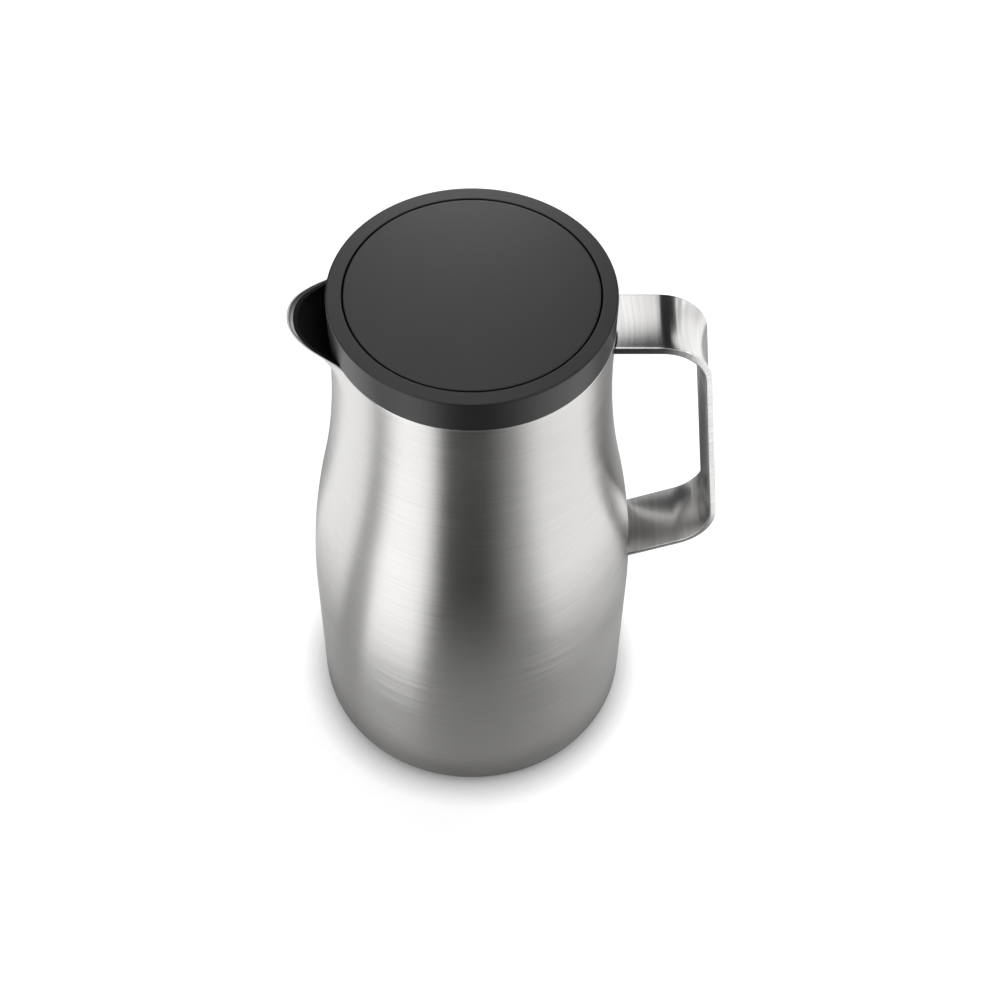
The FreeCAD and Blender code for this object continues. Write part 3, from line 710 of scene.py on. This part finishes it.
def reflectionOnly(name, mesh):
    # a card that shows in reflections, and neither to the camera nor as a light or a shadow
    item = addObject(name, mesh)
    item.visible_camera = False
    item.visible_diffuse = False
    item.visible_shadow = False


def sweepCard(name, side, reach, height, lift, radiance, feather, opacity=1.0):
    # a strip of card round the jug between two azimuths: out along the table, then up;
    # U is the length from its near edge in metres, V the share of the way from the first azimuth
    a = np.radians(np.linspace(side[0], side[1], studio["cardColumns"]))
    upright = np.linspace(lift, height, studio["uprightRows"])[1:]
    r = np.concatenate([np.linspace(reach[0], reach[1], studio["tableRows"]), 0 * upright + reach[1]])
    z = np.concatenate([np.full(studio["tableRows"], lift), upright])
    grid = np.stack([r[:, None] * np.sin(a), -r[:, None] * np.cos(a), z[:, None] + 0 * a], 2)
    rows, cols = grid.shape[:2]
    i, j = np.meshgrid(np.arange(rows - 1), np.arange(cols - 1), indexing="ij")
    k = (i * cols + j).ravel()
    faces = np.stack([k, k + 1, k + cols + 1, k + cols], 1)
    mesh = bpy.data.meshes.new(name)
    mesh.from_pydata(grid.reshape(-1, 3).tolist(), [], faces.tolist())
    length = runLengths(np.stack([r, z], 1))
    uv = np.stack(np.broadcast_arrays(length[:, None], np.linspace(0, 1, cols)[None, :]), 2).reshape(-1, 2)
    layer = mesh.uv_layers.new(name=brushMap)
    corner = np.zeros(len(mesh.loops), np.int32)
    mesh.loops.foreach_get("vertex_index", corner)
    layer.data.foreach_set("uv", uv[corner].astype(np.float32).ravel())
    mesh.materials.append(cardMaterial(name, radiance, feather, opacity))
    reflectionOnly(name, mesh)


def ceilingCard(name, back, front, height, radiance, feather):
    # a level card over the jug: (left x, right x, y) of its back and front edges;
    # U is the share of the way from back to front, V from left to right
    corners = [(back[0], back[2], height), (back[1], back[2], height),
               (front[1], front[2], height), (front[0], front[2], height)]
    mesh = bpy.data.meshes.new(name)
    mesh.from_pydata(corners, [], [(0, 1, 2, 3)])
    layer = mesh.uv_layers.new(name=brushMap)
    layer.data.foreach_set("uv", np.array([0, 0, 0, 1, 1, 1, 1, 0], np.float32))
    mesh.materials.append(cardMaterial(name, radiance, feather, 1.0))
    reflectionOnly(name, mesh)


softboxes = dict(
    leftFront=dict(place=around(-52, 0.75, 0.36), target=(0, 0, 0.12), width=0.36, height=0.6, radiance=1.6),
    rightSide=dict(place=around(78, 0.75, 0.36), target=(0, 0, 0.12), width=0.6, height=0.6, radiance=1.5),
    overhead=dict(place=(0.0, 0.56, 0.92), target=(0, 0, 0.2), width=0.8, height=0.5, radiance=1.7,
                  mirrored=False),
    rightBack=dict(place=around(131, 0.7, 0.24), target=(0.07, 0, 0.18), width=0.36, height=0.42,
                   radiance=1.7, mirrored=False),
)
sweepCards = dict(
    # painted shade: a grey card seen only in reflections darkens the mirrored floor round the base
    mat=dict(side=(-180, 180), reach=(0.058, 0.2), height=0.01, lift=0.002, radiance=0.3,
             feather=(0.0001, 0.0001, 0.02), opacity=0.9),
    # painted contact shadow: a dark ring seen only in reflections, just round the foot
    contactRing=dict(side=(-180, 180), reach=(0.0565, 0.067), height=0.004, lift=0.003, radiance=0.02,
                     feather=(0.0001, 0.0001, 0.001), opacity=0.7),
    frontCard=dict(side=(-27, 46), reach=(0.118, 0.7), height=0.8, lift=0.003, radiance=0.015,
                   feather=(0.15, 0.55, 0.07)),
    leftBright=dict(side=(-66, -21), reach=(0.088, 0.7), height=0.7, lift=0.004, radiance=2.05,
                    feather=(0.2, 0.3, 0.05)),
    leftDark=dict(side=(-76, -61), reach=(0.09, 0.7), height=0.7, lift=0.005, radiance=0.55,
                  feather=(0.35, 0.35, 0.05)),
    leftBack=dict(side=(-124, -75), reach=(0.1, 0.7), height=0.6, lift=0.006, radiance=1.7,
                  feather=(0.2, 0.15, 0.06)),
    rightBright=dict(side=(30, 106), reach=(0.12, 0.7), height=0.7, lift=0.007, radiance=1.7,
                     feather=(0.3, 0.12, 0.06)),
    # painted shade: these two flat cards, seen only in reflections, darken the mirrored floor behind the jug
    # under the handle
    rightDark=dict(side=(108, 175), reach=(0.06, 0.13), height=0.01, lift=0.008, radiance=0.12,
                   feather=(0.2, 0.1, 0.02)),
    rightGrey=dict(side=(108, 175), reach=(0.12, 0.3), height=0.01, lift=0.009, radiance=0.45,
                   feather=(0.2, 0.1, 0.02)),
    rightBackBright=dict(side=(112, 154), reach=(0.34, 0.72), height=0.52, lift=0.01, radiance=1.65,
                         feather=(0.15, 0.1, 0.03)),
    bendDark=dict(side=(154, 173), reach=(0.5, 0.68), height=0.55, lift=0.011, radiance=0.03,
                  feather=(0.15, 0.1, 0.05)),
    backShade=dict(side=(171, 198), reach=(0.3, 0.9), height=0.5, lift=0.012, radiance=0.8,
                   feather=(0.05, 0.2, 0.1)),
    backDark=dict(side=(196, 238), reach=(0.2, 0.9), height=0.7, lift=0.013, radiance=0.05,
                  feather=(0.1, 0.1, 0.05)),
)
ceilingCards = dict(
    ceiling=dict(back=(-0.9, 0.9, 1.5), front=(-0.9, 0.9, -0.4), height=1.1, radiance=1.9,
                 feather=(0.02, 0.02, 0.55)),
    handleGap=dict(back=(0.178, 1.05, 1.5), front=(0.106, 0.5, -0.3), height=0.9, radiance=0.03,
                   feather=(0.08, 0.05, 0.01)),
    armShade=dict(back=(-1.3, -0.36, 1.5), front=(-1.3, -0.36, 0.4), height=1.05, radiance=0.06,
                  feather=(0.02, 0.1, 0.05)),
    lidGlow=dict(back=(-0.07, 0.07, 0.5), front=(-0.07, 0.07, 0.148), height=0.33, radiance=4.6,
                 feather=(0.25, 0.25, 0.02)),
)
makeFloor()
makeWorld()
for make, kinds in ((softbox, softboxes), (sweepCard, sweepCards), (ceilingCard, ceilingCards)):
    for name, values in kinds.items():
        make(name, **values)
print("studio lit")


# camera, at the photograph's place

view = dict(place=(0.0, -0.39762, 0.6431), pitch=53.531, lens=67.51, sensor=36.0, shift=0.028, nearest=0.01)
camera = bpy.data.cameras.new("camera")
camera.sensor_width = view["sensor"]
camera.sensor_fit = "HORIZONTAL"
camera.lens = view["lens"]
camera.shift_x = view["shift"]
camera.clip_start = view["nearest"]
eye = addObject("camera", camera)
eye.location = view["place"]
eye.rotation_euler = (math.radians(90 - view["pitch"]), 0, 0)
scene.camera = eye
print("camera placed")

bpy.context.view_layer.update()
